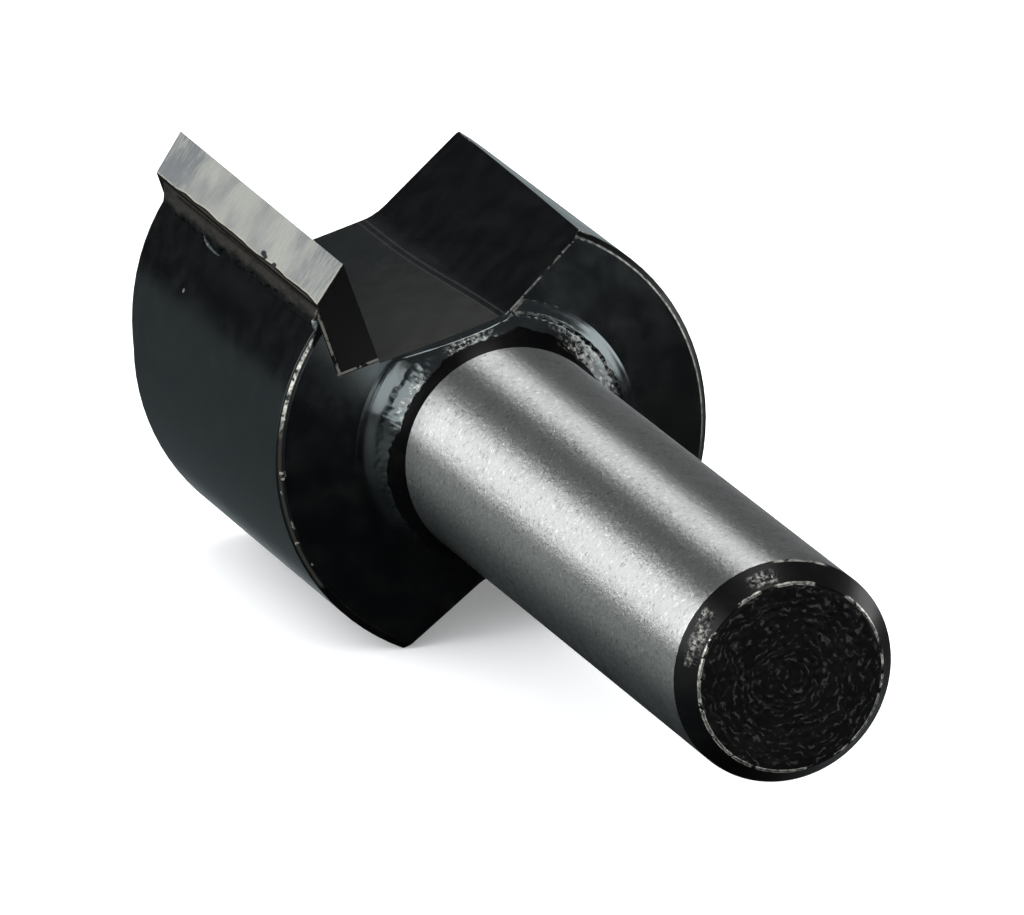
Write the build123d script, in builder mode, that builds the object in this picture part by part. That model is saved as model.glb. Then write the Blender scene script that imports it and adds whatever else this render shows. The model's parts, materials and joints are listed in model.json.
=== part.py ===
"""Two-flute straight router bit with brazed carbide tips.

One bar of steel is turned to a shank, a neck and a wide cutting head.  Two open gullets are milled
along the head, and an L-shaped seat behind each gullet's leading side takes a carbide tip, held by
a thin layer of silver solder.  Sizes are in millimetres.

Frame: the bit lies as it comes to rest, on one cutting edge and one heel.  +Z is up, the shank end
points to -Y and the cutting end to +Y, and the origin is under the middle of the bit, on the floor.

The bit has its own axes as well: z runs along its centreline towards the shank end, with z = 0 at
the back corner of the head, and x and y lie across it.  A second wing is the first, half turned.
"""

import os
from math import asin, atan2, cos, hypot, pi, radians, sin, tan

from build123d import *

# ---- shank and neck ----
shank_radius = 4.0  # ground to size for the collet
shank_reach = 31.0  # back corner of the head to the end of the shank
ground_start = 2.0  # where the ground surface begins, behind the head
ground_lead_in = 0.05
end_chamfer_radial = 0.62
end_chamfer_axial = 0.88
neck_undercut = 0.12  # the neck is left a little under the ground size
hub_spread = 1.48  # neck out to where the shoulder turns into the neck's fillet
shoulder_slope = radians(8.25)

# ---- cutting head ----
head_radius = 8.23
head_length = 16.2  # back corner to the flat front of the web
back_chamfer_radial = 0.25
back_chamfer_axial = 0.22
front_edge_break = 0.12

# ---- gullets ----
web_half = 3.52  # centreline to the gullet floor, at the front of the head
floor_slope = radians(32.6)
heel_offset = 2.19  # centreline to the heel wall, at the front of the head
heel_slope = radians(6.8)
gullet_corner_radius = 2.3
gullet_tilt = radians(4.1)  # the gullets run out shallower towards the shank

# ---- carbide tips ----
cutting_radius = 9.05
edge_angle = radians(79.8)  # from the bit's x axis to the cutting edge
hook_angle = radians(20.3)  # rake face against the radius at the cutting edge
flank_relief = radians(16.7)
tip_overhang = 2.4  # how far the tips stand out past the flat front
tip_height = 3.6
tip_thickness = 1.4
tip_lean = radians(0.52)  # tips lean forward a little towards the cutting end
tip_end_relief = radians(4.0)

# ---- solder ----
wall_joint = 0.18  # solder behind the tip
floor_joint = 0.15  # solder under the tip
bead_drop = 0.15  # flank heel down to the top of the bead
bead_spread = 0.47  # how far the bead runs out over the head behind the seat
bead_sagitta = 0.06

# ---- end relief behind each tip ----
relief_bearing = radians(66.9)  # direction in which the raised end behind a tip climbs
relief_start = 3.81  # centreline to the line where it leaves the flat front
relief_slope = radians(20.3)

cut_margin = 2.0  # how far a cutter runs past what it cuts
cutter_reach = 14.0  # half the size of a cutter, well outside the head

neck_radius = shank_radius - neck_undercut
hub_radius = neck_radius + hub_spread
tip_length = head_length + tip_overhang
edge_x = cutting_radius * cos(edge_angle)
edge_y = cutting_radius * sin(edge_angle)

# ---- how the bit lies ----
# It rests on the front corner of one cutting edge and the back corner of the other wing's heel.
gullet_rise = head_length * tan(gullet_tilt)
heel_angle = asin((heel_offset + gullet_rise * cos(heel_slope)) / head_radius) - heel_slope
edge_front_x = edge_x * cos(tip_lean) + tip_length * sin(tip_lean)
edge_front_reach = tip_length * cos(tip_lean) - edge_x * sin(tip_lean)
heel_x = head_radius * cos(heel_angle)
heel_y = head_radius * sin(heel_angle)
up_angle = atan2(heel_x - edge_front_x, edge_y - heel_y)
roll = pi / 2 - up_angle
axis_height = edge_front_x * cos(up_angle) + edge_y * sin(up_angle)
axis_start = (shank_reach - edge_front_reach) / 2


def bit_frame(turn):
    """The bit's own frame, with x and y turned about the centreline by turn."""
    angle = roll + turn
    return Plane(
        origin=(0, axis_start, axis_height), x_dir=(cos(angle), 0, sin(angle)), z_dir=(0, -1, 0)
    )


def direction(frame, x, y, z):
    """A direction given in a frame's own axes."""
    return frame.x_dir * x + frame.y_dir * y + frame.z_dir * z


def tip_frame(frame):
    """A wing's frame leaned as its tip is, so that z runs along the cutting edge."""
    return Plane(
        origin=frame.origin,
        x_dir=direction(frame, cos(tip_lean), 0, sin(tip_lean)),
        z_dir=direction(frame, -sin(tip_lean), 0, cos(tip_lean)),
    )


def shoulder_z(radius):
    """Height of the conical shoulder, and of the tips faced off with it, at a radius."""
    inner = head_radius - back_chamfer_radial
    return back_chamfer_axial + (inner - radius) * tan(shoulder_slope)


# The rake face runs from the cutting edge down into the head, and the tip's back lies behind it.
rake_bearing = edge_angle - hook_angle
down_rake = (-cos(rake_bearing), -sin(rake_bearing))
behind_rake = (-sin(rake_bearing), cos(rake_bearing))


def on_tip(down, behind):
    """A point of the tip's section: down along the rake face, and behind it."""
    return (
        edge_x + down * down_rake[0] + behind * behind_rake[0],
        edge_y + down * down_rake[1] + behind * behind_rake[1],
    )


def surface_depth(behind):
    """How far down the rake direction the round of the head lies, that far behind the rake face."""
    x, y = on_tip(0, behind)
    along = x * down_rake[0] + y * down_rake[1]
    return -along - (along**2 - (hypot(x, y) ** 2 - head_radius**2)) ** 0.5


seat_depth = tip_height + floor_joint
seat_width = tip_thickness + wall_joint
heel_drop = tip_thickness * tan(hook_angle + flank_relief)

bit = bit_frame(0)
wings = [bit_frame(0), bit_frame(pi)]
axial = Plane(origin=bit.origin, x_dir=bit.x_dir, z_dir=-bit.y_dir)
centreline = Axis(bit.origin, bit.z_dir)

# ---- the turned blank, a little long at the front so that the end relief can be milled ----
blank_front = -head_length - cut_margin
with BuildPart() as turned_blank:
    with BuildSketch(axial):
        with BuildLine():
            hub = (hub_radius, shoulder_z(hub_radius))
            neck = (neck_radius, ground_start)
            Polyline(
                (0, shank_reach),
                (0, blank_front),
                (head_radius, blank_front),
                (head_radius, 0),
                (head_radius - back_chamfer_radial, back_chamfer_axial),
                hub,
            )
            TangentArc(hub, neck, tangent=(-cos(shoulder_slope), sin(shoulder_slope)))
            Polyline(
                neck,
                (shank_radius, ground_start + ground_lead_in),
                (shank_radius, shank_reach - end_chamfer_axial),
                (shank_radius - end_chamfer_radial, shank_reach),
                (0, shank_reach),
            )
        make_face()
    revolve(axis=centreline)

# ---- facing cut: the shoulder's cone carried out past the tips ----
with BuildPart() as facing:
    with BuildSketch(axial):
        with BuildLine():
            Polyline(
                (shank_radius, shoulder_z(shank_radius)),
                (cutter_reach, shoulder_z(cutter_reach)),
                (cutter_reach, ground_start + cut_margin),
                (shank_radius, ground_start + cut_margin),
                close=True,
            )
        make_face()
    revolve(axis=centreline)


def rake_plane(wing):
    """Plane of a wing's rake face, with its z out into the gullet."""
    leaned = tip_frame(wing)
    return Plane(
        origin=leaned.from_local_coords((edge_x, edge_y, 0)),
        x_dir=leaned.z_dir,
        z_dir=direction(leaned, -behind_rake[0], -behind_rake[1], 0),
    )


def relief_plane(wing):
    """Plane of the raised end behind a tip, with its z into the head."""
    climb = (cos(relief_bearing), sin(relief_bearing))
    return Plane(
        origin=wing.from_local_coords(
            (relief_start * climb[0], relief_start * climb[1], -head_length)
        ),
        z_dir=direction(
            wing, climb[0] * sin(relief_slope), climb[1] * sin(relief_slope), cos(relief_slope)
        ),
    )


def gullet_cutter(wing):
    """What milling takes out of one gullet: floor, corner radius and heel wall, run out of line."""
    spread = sin(floor_slope - heel_slope)
    corner = (
        (web_half * cos(heel_slope) - heel_offset * cos(floor_slope)) / spread,
        (heel_offset * sin(floor_slope) - web_half * sin(heel_slope)) / spread,
    )
    reach = cutter_reach
    floor_end = (corner[0] - reach * cos(floor_slope), corner[1] + reach * sin(floor_slope))
    heel_end = (corner[0] + reach * cos(heel_slope), corner[1] - reach * sin(heel_slope))
    start = wing.from_local_coords((0, -cut_margin * tan(gullet_tilt), -head_length - cut_margin))
    run = head_length + ground_start + 2 * cut_margin
    with BuildPart() as cutter:
        with BuildSketch(Plane(origin=start, x_dir=wing.x_dir, z_dir=wing.z_dir)) as profile:
            with BuildLine():
                Polyline(floor_end, corner, heel_end, (heel_end[0], floor_end[1]), close=True)
            make_face()
            fillet(profile.vertices().sort_by_distance(corner)[0], gullet_corner_radius)
        along = direction(wing, 0, sin(gullet_tilt), cos(gullet_tilt))
        extrude(amount=run / cos(gullet_tilt), dir=along)
        split(bisect_by=rake_plane(wing), keep=Keep.TOP)
    return cutter.part


def tip_run(wing):
    """Sketch plane of a tip's section and the length to extrude it, both ends left to be cut."""
    start = tip_frame(wing).offset(-tip_length - cut_margin)
    return start, tip_length + 2 * cut_margin


def seat_cutter(wing):
    """The square-cornered seat milled for a tip and the solder around it."""
    start, run = tip_run(wing)
    above = -seat_depth
    with BuildPart() as cutter:
        with BuildSketch(start):
            with BuildLine():
                Polyline(
                    on_tip(above, 0),
                    on_tip(seat_depth, 0),
                    on_tip(seat_depth, seat_width),
                    on_tip(above, seat_width),
                    close=True,
                )
            make_face()
        extrude(amount=run)
    return cutter.part


def end_cutter(wing):
    """What end milling takes off this wing's half of the front, down to the flat and the slope."""
    start = wing.offset(-head_length - cut_margin - shank_radius)
    with BuildPart() as cutter:
        with BuildSketch(start):
            Rectangle(cutter_reach, 2 * cutter_reach, align=(Align.MAX, Align.CENTER))
        extrude(amount=cut_margin + shank_radius)
        split(bisect_by=relief_plane(wing), keep=Keep.BOTTOM)
    return cutter.part


# ---- body: the blank with both gullets, both seats and the end relief taken out ----
with BuildPart() as bit_body:
    add(turned_blank.part)
    for wing in wings:
        add(end_cutter(wing), mode=Mode.SUBTRACT)
        add(gullet_cutter(wing), mode=Mode.SUBTRACT)
        add(seat_cutter(wing), mode=Mode.SUBTRACT)
    front_rims = bit_body.edges().filter_by(GeomType.CIRCLE).group_by(Axis.Y)[-1]
    chamfer(front_rims, front_edge_break)
bit_body.part.label = "bit_body"


def carbide_tip(wing):
    """A tip: ground flank, flat rake face, relieved front end and a back end faced with the head."""
    start, run = tip_run(wing)
    leaned = tip_frame(wing)
    with BuildPart() as tip:
        with BuildSketch(start):
            with BuildLine():
                Polyline(
                    on_tip(0, 0),
                    on_tip(tip_height, 0),
                    on_tip(tip_height, tip_thickness),
                    on_tip(heel_drop, tip_thickness),
                    close=True,
                )
            make_face()
        extrude(amount=run)
        add(facing.part, mode=Mode.SUBTRACT)
        front = Plane(
            origin=leaned.from_local_coords((edge_x, edge_y, -tip_length)),
            z_dir=direction(
                leaned,
                -sin(tip_end_relief) * (behind_rake[0] + down_rake[0]),
                -sin(tip_end_relief) * (behind_rake[1] + down_rake[1]),
                cos(tip_end_relief),
            ),
        )
        split(bisect_by=front, keep=Keep.TOP)
    return tip.part


def braze_seam(wing):
    """Solder behind and under a tip, and the bead along the tip's back where the head begins."""
    start, run = tip_run(wing)
    bead_top = on_tip(heel_drop + bead_drop, tip_thickness)
    spread = seat_width + bead_spread
    bead_foot = on_tip(surface_depth(spread) + wall_joint, spread)
    deep = seat_depth + cut_margin / 2
    with BuildPart() as seam:
        with BuildSketch(start):
            with BuildLine():
                SagittaArc(bead_top, bead_foot, bead_sagitta)
                Polyline(
                    bead_foot,
                    on_tip(deep, spread),
                    on_tip(deep, 0),
                    on_tip(tip_height, 0),
                    on_tip(tip_height, tip_thickness),
                    bead_top,
                )
            make_face()
        extrude(amount=run)
        split(bisect_by=relief_plane(wing), keep=Keep.TOP)
        add(facing.part, mode=Mode.SUBTRACT)
        add(bit_body.part, mode=Mode.SUBTRACT)
    return seam.part


os.makedirs("parts", exist_ok=True)
export_step(bit_body.part, "parts/bit_body.step")

# ---- both wings' tips and the solder that holds them ----
for wing, letter in zip(wings, "ab"):
    with BuildPart() as tip_part:
        add(carbide_tip(wing))
    tip_part.part.label = f"carbide_tip_{letter}"
    export_step(tip_part.part, f"parts/carbide_tip_{letter}.step")

    with BuildPart() as seam_part:
        add(braze_seam(wing))
    seam_part.part.label = f"braze_seam_{letter}"
    export_step(seam_part.part, f"parts/braze_seam_{letter}.step")
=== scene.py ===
"""Looks for a two-flute straight router bit with brazed carbide tips.

The steel body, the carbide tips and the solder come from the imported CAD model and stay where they
are.  This script dresses them, and adds the skins that turning, grinding and brazing leave on the
real tool: the ground surface of the shank, the turned neck with its sooty groove, the bruised
chamfer, the rough sawn end, and the solder that ran out beside the tips.  Sizes are in millimetres
unless a name says otherwise.
"""

from __future__ import annotations

import json
import logging
from dataclasses import dataclass, replace
from enum import Enum
from functools import reduce
from math import cos, pi, radians, sin, tan

import bpy
import numpy as np
from mathutils import Matrix, Vector

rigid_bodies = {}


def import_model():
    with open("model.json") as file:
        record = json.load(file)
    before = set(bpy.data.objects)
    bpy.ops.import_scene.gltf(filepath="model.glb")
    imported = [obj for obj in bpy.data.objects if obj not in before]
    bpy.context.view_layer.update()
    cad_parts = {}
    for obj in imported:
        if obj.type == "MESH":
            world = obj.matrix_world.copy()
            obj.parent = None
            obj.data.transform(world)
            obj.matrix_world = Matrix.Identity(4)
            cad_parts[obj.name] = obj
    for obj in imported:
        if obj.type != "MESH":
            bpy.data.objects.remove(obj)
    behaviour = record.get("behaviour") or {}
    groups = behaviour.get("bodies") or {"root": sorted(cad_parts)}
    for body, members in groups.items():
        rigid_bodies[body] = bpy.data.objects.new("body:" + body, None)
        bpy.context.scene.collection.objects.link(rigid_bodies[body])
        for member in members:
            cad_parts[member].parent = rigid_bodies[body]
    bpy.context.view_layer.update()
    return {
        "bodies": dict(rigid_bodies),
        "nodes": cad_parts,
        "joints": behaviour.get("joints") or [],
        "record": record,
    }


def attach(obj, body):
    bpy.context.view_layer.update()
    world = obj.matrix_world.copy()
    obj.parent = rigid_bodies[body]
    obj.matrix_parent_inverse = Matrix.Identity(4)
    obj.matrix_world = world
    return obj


MM = 0.001
Span = tuple[float, float]
Rows = tuple[tuple[float, ...], ...]
log = logging.getLogger("router_bit")


class Slot(Enum):
    """The record's material slots."""

    BODY = "bit_body"
    TIP = "carbide_tip"
    SOLDER = "braze_seam"


# ---------------------------------------------------------------------------------------------
# Colours and nodes
# ---------------------------------------------------------------------------------------------


def linear(hex_colour: str) -> tuple[float, float, float, float]:
    """Turn an sRGB hex value into the linear colour that a node's inputs take.

    Args:
        hex_colour: a colour such as "#8A8C8E".

    Returns:
        Linear red, green, blue and an alpha of one.
    """
    channels = (int(hex_colour[i : i + 2], 16) / 255 for i in (1, 3, 5))
    red, green, blue = (
        c / 12.92 if c <= 0.04045 else ((c + 0.055) / 1.055) ** 2.4 for c in channels
    )
    return red, green, blue, 1.0


def set_up(node: bpy.types.Node, settings: dict[str | int, object]) -> None:
    """Set a node's properties and inputs.

    Args:
        node: the node.
        settings: by name or input number, a property's value, or what an input takes: a field, a
            socket, an sRGB hex value or a plain value.
    """
    for name, value in settings.items():
        value = value.socket if isinstance(value, Field) else value
        if isinstance(name, str) and hasattr(node, name):
            setattr(node, name, value)
        elif isinstance(value, bpy.types.NodeSocket):
            node.id_data.links.new(value, node.inputs[name])
        else:
            plain = linear(value) if isinstance(value, str) else value
            node.inputs[name].default_value = plain


def add_node(
    tree: bpy.types.NodeTree, kind: str, settings: dict[str | int, object] | None = None
) -> bpy.types.Node:
    """Add one node with its settings and its incoming links.

    Args:
        tree: the node tree to add to.
        kind: the node's type name.
        settings: what set_up takes.

    Returns:
        The new node.
    """
    node = tree.nodes.new(kind)
    set_up(node, settings or {})
    return node


class Field:
    """A value that changes over a surface: one output of a shader node.

    Fields add, subtract and multiply with each other and with numbers.  Shares are fields from 0
    to 1: a product is where both hold, and a | b is where either does.
    """

    def __init__(self, socket: bpy.types.NodeSocket) -> None:
        """Wrap a node's output."""
        self.socket = socket

    def add(self, kind: str, settings: dict[str | int, object]) -> bpy.types.Node:
        """Add a node to the tree that this field is in."""
        return add_node(self.socket.id_data, kind, settings)

    def join(self, operation: str, other: Field | float = 0.0) -> Field:
        """Join this field to another, or change it alone, by one operation of arithmetic."""
        settings = {"operation": operation, 0: self, 1: other}
        return Field(self.add("ShaderNodeMath", settings).outputs[0])

    def __add__(self, other: Field | float) -> Field:
        """The sum."""
        return self.join("ADD", other)

    def __sub__(self, other: Field | float) -> Field:
        """The difference."""
        return self.join("SUBTRACT", other)

    def __mul__(self, other: Field | float) -> Field:
        """The product."""
        return self.join("MULTIPLY", other)

    def __or__(self, other: Field) -> Field:
        """The greater of the two."""
        return self.join("MAXIMUM", other)

    def ramp(self, low: float, high: float, to_min: float = 0.0, to_max: float = 1.0) -> Field:
        """Carry the range low to high smoothly onto another, and hold the result inside it.

        Args:
            low: the value that becomes to_min.
            high: the value that becomes to_max; it may be the lesser.
            to_min: the first end of the new range.
            to_max: the second end of the new range.

        Returns:
            The carried field.
        """
        settings = {
            "interpolation_type": "SMOOTHSTEP",
            "Value": self,
            "From Min": low,
            "From Max": high,
            "To Min": to_min,
            "To Max": to_max,
        }
        return Field(self.add("ShaderNodeMapRange", settings).outputs["Result"])

    def band(self, centre: float, half_width: float) -> Field:
        """A share that is 1 up to half of half_width from centre, and 0 from half_width on."""
        return (self - centre).join("ABSOLUTE").ramp(half_width, half_width / 2)

    def colours(self, first: Field | str, second: Field | str) -> Field:
        """Mix two colours: first where this share is 0, second where it is 1."""
        settings = {"data_type": "RGBA", "Factor": self, 6: first, 7: second}
        return Field(self.add("ShaderNodeMix", settings).outputs[2])

    def values(self, first: Field | float, second: Field | float) -> Field:
        """Mix two values: first where this share is 0, second where it is 1."""
        settings = {"data_type": "FLOAT", "Factor": self, 2: first, 3: second}
        return Field(self.add("ShaderNodeMix", settings).outputs[0])

    def bump(self, strength: float, distance: float) -> Field:
        """The surface's normal as this height bends it, with the distance in millimetres."""
        settings = {"Strength": strength, "Distance": distance * MM, "Height": self}
        return Field(self.add("ShaderNodeBump", settings).outputs[0])


def any_of(*shares: Field) -> Field:
    """Where any of several shares holds."""
    return reduce(Field.__or__, shares)


class Place(Field):
    """Three values at each point: a surface's coordinates in millimetres, or a direction."""

    def parts(self) -> tuple[Field, Field, Field]:
        """The x, y and z of each point."""
        outputs = self.add("ShaderNodeSeparateXYZ", {0: self}).outputs
        return Field(outputs[0]), Field(outputs[1]), Field(outputs[2])

    def polar(self) -> tuple[Field, Field]:
        """Turn x and y into polar coordinates.

        Returns:
            Distance from the centreline, and the bearing about it in degrees.
        """
        x, y, _ = self.parts()
        flat = self.add("ShaderNodeCombineXYZ", {0: x, 1: y}).outputs[0]
        length = self.add("ShaderNodeVectorMath", {"operation": "LENGTH", 0: flat})
        return Field(length.outputs["Value"]), y.join("ARCTAN2", x) * (180 / pi)

    def drawn(self, scale: tuple[float, float, float], tip: float = 0.0) -> Place:
        """Stretch and turn the coordinates that a pattern is drawn on.

        Args:
            scale: how much finer the pattern gets along each axis.
            tip: a turn about x, in radians.

        Returns:
            The new coordinates.
        """
        settings = {"vector_type": "POINT", "Vector": self, "Scale": scale}
        settings["Rotation"] = (tip, 0.0, 0.0)
        return Place(self.add("ShaderNodeMapping", settings).outputs[0])

    def distance(self, point: tuple[float, float, float]) -> Field:
        """How far each point is from one point."""
        settings = {"operation": "DISTANCE", 0: self, 1: point}
        return Field(self.add("ShaderNodeVectorMath", settings).outputs["Value"])

    def noise(self, width: float, detail: float, broken: float = 0.6) -> Field:
        """Smooth noise between 0 and 1.

        Args:
            width: how wide one patch is.
            detail: how many finer layers are added.
            broken: how strong each finer layer is.

        Returns:
            The noise.
        """
        settings = {"Vector": self, "Scale": 1 / width, "Detail": detail, "Roughness": broken}
        return Field(self.add("ShaderNodeTexNoise", settings).outputs["Fac"])


# ---------------------------------------------------------------------------------------------
# The bit's own axes
# ---------------------------------------------------------------------------------------------


@dataclass(frozen=True)
class BitAxes:
    """Where the bit's own axes lie in the row frame.

    z runs along the centreline from the back corner of the head to the shank end.  x and y lie
    across it, turned about the centreline by roll from level and upright.
    """

    start: float = 6.20766
    height: float = 7.39234
    roll: float = 0.816087

    def place(
        self,
        radius: np.ndarray,
        angle: np.ndarray,
        z: float | np.ndarray,
        turn: float = 0.0,
    ) -> np.ndarray:
        """Turn points about the centreline into the row frame.

        Each point's x and y, its radius times its angle's cosine and sine, are turned by roll and
        turn, and added to start and height, less z along +Y.

        Args:
            radius: distances from the centreline.
            angle: angles about it, from the bit's x axis.
            z: distances towards the shank end.
            turn: an extra turn about the centreline, for the second wing.

        Returns:
            Points in metres, with one more dimension of three than the inputs.
        """
        x, y = radius * np.cos(angle), radius * np.sin(angle)
        turned = self.roll + turn
        across = x * cos(turned) - y * sin(turned)
        up = x * sin(turned) + y * cos(turned)
        points = (across, self.start - z + 0 * across, self.height + up)
        return np.stack(np.broadcast_arrays(*points), axis=-1) * MM

    def coordinates(self, tree: bpy.types.NodeTree) -> Place:
        """Object coordinates moved and turned into the bit's axes, in millimetres.

        Args:
            tree: the material's node tree.

        Returns:
            Coordinates whose z runs towards the shank end.
        """
        origin = (0.0, self.start * MM, self.height * MM)
        source = add_node(tree, "ShaderNodeTexCoord").outputs["Object"]
        settings = {"operation": "SUBTRACT", 0: source, 1: origin}
        centred = add_node(tree, "ShaderNodeVectorMath", settings).outputs[0]
        settings = {"vector_type": "POINT", "Vector": centred, "Scale": (1 / MM, 1 / MM, 1 / MM)}
        settings["Rotation"] = (0.0, self.roll, 0.0)
        turned = Place(add_node(tree, "ShaderNodeMapping", settings).outputs[0])
        x, along, y = turned.parts()
        joined = add_node(tree, "ShaderNodeCombineXYZ", {0: x, 1: y, 2: along * -1.0})
        return Place(joined.outputs[0])


@dataclass(frozen=True)
class BitSizes:
    """The body's sizes that the skins and the finishes have to meet."""

    shank_radius: float = 4.0
    shank_end: float = 31.0
    ground_from: float = 2.05
    ground_to: float = 30.12
    end_face_radius: float = 3.38
    head_radius: float = 8.23
    head_front: float = -16.2
    back_chamfer: float = 0.22
    shoulder_rim: float = 7.98
    shoulder_slope: float = radians(8.25)
    neck_radius: float = 3.88
    neck_end: float = 2.0
    hub_radius: float = 5.36
    floor_bearing: float = radians(57.4)  # square to a gullet's floor
    floor_distance: float = 4.55  # centreline to that floor, where it leaves the back
    wall_bearing: float = radians(83.2)  # square to a gullet's heel wall
    wall_distance: float = 3.40


# ---------------------------------------------------------------------------------------------
# Meshes from numpy grids
# ---------------------------------------------------------------------------------------------


def ripple(points: np.ndarray, wavelength: float, seed: int, waves: int = 28) -> np.ndarray:
    """Smooth irregular values over any points.

    The value is the sum of plane cosine waves in seeded random directions, with wavelengths from
    0.7 to 1.5 times the one given, divided so that it stays mostly between -1 and 1.

    Args:
        points: coordinates in the last dimension.
        wavelength: the middle wavelength, in the units of the points.
        seed: the number that fixes the random draw.
        waves: how many waves are added.

    Returns:
        One value per point.
    """
    draw = np.random.default_rng(seed)
    heading = draw.normal(size=(waves, points.shape[-1]))
    heading /= np.linalg.norm(heading, axis=1, keepdims=True)
    length = wavelength * draw.uniform(0.7, 1.5, size=(waves, 1))
    phase = draw.uniform(0, 2 * pi, size=waves)
    return np.cos(points @ (2 * pi * heading / length).T + phase).sum(-1) / np.sqrt(waves)


def uneven(points: np.ndarray, *layers: tuple[float, float, int]) -> np.ndarray:
    """The sum of ripples over points, each given as its height, wavelength and seed."""
    return sum(height * ripple(points, wavelength, seed) for height, wavelength, seed in layers)


def whole_turn(steps: int) -> np.ndarray:
    """Angles of the points of one ring."""
    return np.linspace(0, 2 * pi, steps, endpoint=False)


def taper(value: np.ndarray, low: float, high: float, reach: float) -> np.ndarray:
    """A share that rises from 0 at both ends of a range to 1 at a reach inside them."""
    return np.clip(np.minimum(value - low, high - value) / reach, 0, 1)


def round_points(
    angle: np.ndarray, radius: float | np.ndarray, *more: np.ndarray
) -> np.ndarray:
    """Points at the radius times the angle's cosine and sine, with more coordinates after."""
    flat = (radius * np.cos(angle), radius * np.sin(angle), *more)
    return np.stack(np.broadcast_arrays(*flat), axis=-1)


def add_object(name: str, data: bpy.types.ID) -> bpy.types.Object:
    """Add an object to the scene.

    Args:
        name: the object's name.
        data: the mesh, lamp or camera that it holds.

    Returns:
        The new object, at the origin.
    """
    made = bpy.data.objects.new(name, data)
    bpy.context.scene.collection.objects.link(made)
    return made


def grid_faces(rows: int, columns: int, around: bool) -> np.ndarray:
    """Corner numbers of the quads of a grid of rows and columns.

    Args:
        rows: points along the first parameter.
        columns: points along the second parameter, which closes on itself.
        around: whether the first parameter closes on itself as well.

    Returns:
        An array of four corners per quad.
    """
    last = rows if around else rows - 1
    r, c = np.meshgrid(np.arange(last), np.arange(columns), indexing="ij")
    r, c = r.ravel(), c.ravel()
    after_r, after_c = (r + 1) % rows, (c + 1) % columns
    corners = (r * columns + c, r * columns + after_c, after_r * columns + after_c)
    return np.stack([*corners, after_r * columns + c], axis=-1)


def closed_piece(name: str, rings: np.ndarray, capped: bool = False) -> bpy.types.Object:
    """Make a closed mesh from rings of points.

    The last ring joins the first, or the first and the last are each closed by a fan of triangles
    to the ring's mean.  Faces are turned to point outwards: the signed volume, a sixth of the sum
    over triangles of each one's corners' triple product, is positive.

    Args:
        name: the piece's name.
        rings: points in metres, by ring and by place along the ring.
        capped: whether fans close the two ends.

    Returns:
        The new object, at the origin.
    """
    rows, columns = rings.shape[:2]
    quads = grid_faces(rows, columns, around=not capped)
    points = rings.reshape(-1, 3)
    fans = np.empty((0, 3), dtype=int)
    if capped:
        here = np.arange(columns)
        there = (here + 1) % columns
        first = np.stack([np.full(columns, rows * columns), there, here], axis=-1)
        end = (rows - 1) * columns
        last = np.stack([np.full(columns, rows * columns + 1), end + here, end + there], axis=-1)
        fans = np.concatenate([first, last])
        points = np.concatenate([points, rings[[0, -1]].mean(1)])
    triangles = np.concatenate([quads[:, [0, 1, 2]], quads[:, [0, 2, 3]], fans])
    a, b, c = (points[triangles[:, i]] - points.mean(0) for i in range(3))
    if np.einsum("ij,ij->", a, np.cross(b, c)) < 0:
        quads, fans = quads[:, ::-1], fans[:, ::-1]
    mesh = bpy.data.meshes.new(name)
    mesh.from_pydata(points.tolist(), [], quads.tolist() + fans.tolist())
    mesh.polygons.foreach_set("use_smooth", np.ones(len(mesh.polygons), dtype=bool))
    mesh.update()
    return add_object(name, mesh)


def finish_piece(piece: bpy.types.Object, material: bpy.types.Material) -> None:
    """Dress a new piece, fix it to the bit and report it.

    Args:
        piece: the new object.
        material: its finish.
    """
    piece.data.materials.append(material)
    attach(piece, "root")
    log.info("%s: %d faces, %s", piece.name, len(piece.data.polygons), material.name)


def dress_node(node: bpy.types.Object, material: bpy.types.Material) -> None:
    """Give a CAD node its finish and report it."""
    for place in node.material_slots:
        place.material = material
    log.info("%s: %s", node.name, material.name)


# ---------------------------------------------------------------------------------------------
# Finishes
# ---------------------------------------------------------------------------------------------


def new_material(name: str) -> tuple[bpy.types.Material, bpy.types.NodeTree, bpy.types.Node]:
    """Start a material with a Principled shader.

    Args:
        name: the material's name.

    Returns:
        The material, its node tree and its shader.
    """
    material = bpy.data.materials.new(name)
    material.use_nodes = True
    tree = material.node_tree
    tree.nodes.clear()
    shader = add_node(tree, "ShaderNodeBsdfPrincipled")
    add_node(tree, "ShaderNodeOutputMaterial", {"Surface": shader.outputs[0]})
    return material, tree, shader


@dataclass(frozen=True)
class Spot:
    """A point of the body: its coordinates, and its place along and about the centreline."""

    place: Place
    along: Field
    radius: Field
    bearing: Field


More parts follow.
